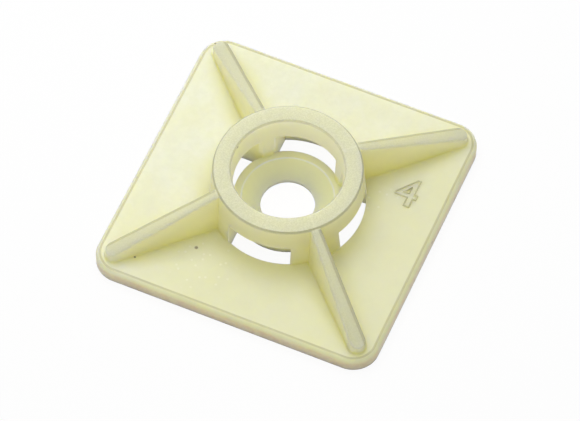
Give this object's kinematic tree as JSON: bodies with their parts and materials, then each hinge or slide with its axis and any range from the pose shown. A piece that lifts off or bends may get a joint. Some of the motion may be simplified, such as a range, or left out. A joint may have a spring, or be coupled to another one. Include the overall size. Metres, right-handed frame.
{
  "type": "cable tie mount",
  "caption": "Square moulded base with a countersunk screw hole and a raised, windowed ring on corner ribs, which holds a cable tie.",
  "frame": {"origin": "centre of the screw hole in the plane of the underside", "axes": "+Z along the screw hole's axis, from the underside towards the ring; X and Y square to the sides of the plate"},
  "size_m": [0.028, 0.028, 0.0064],
  "materials": {
    "natural_nylon": "as moulded, satin, slightly translucent"
  },
  "bodies": {
    "root": {"tie_mount": "natural_nylon"}
  },
  "joints": []
}
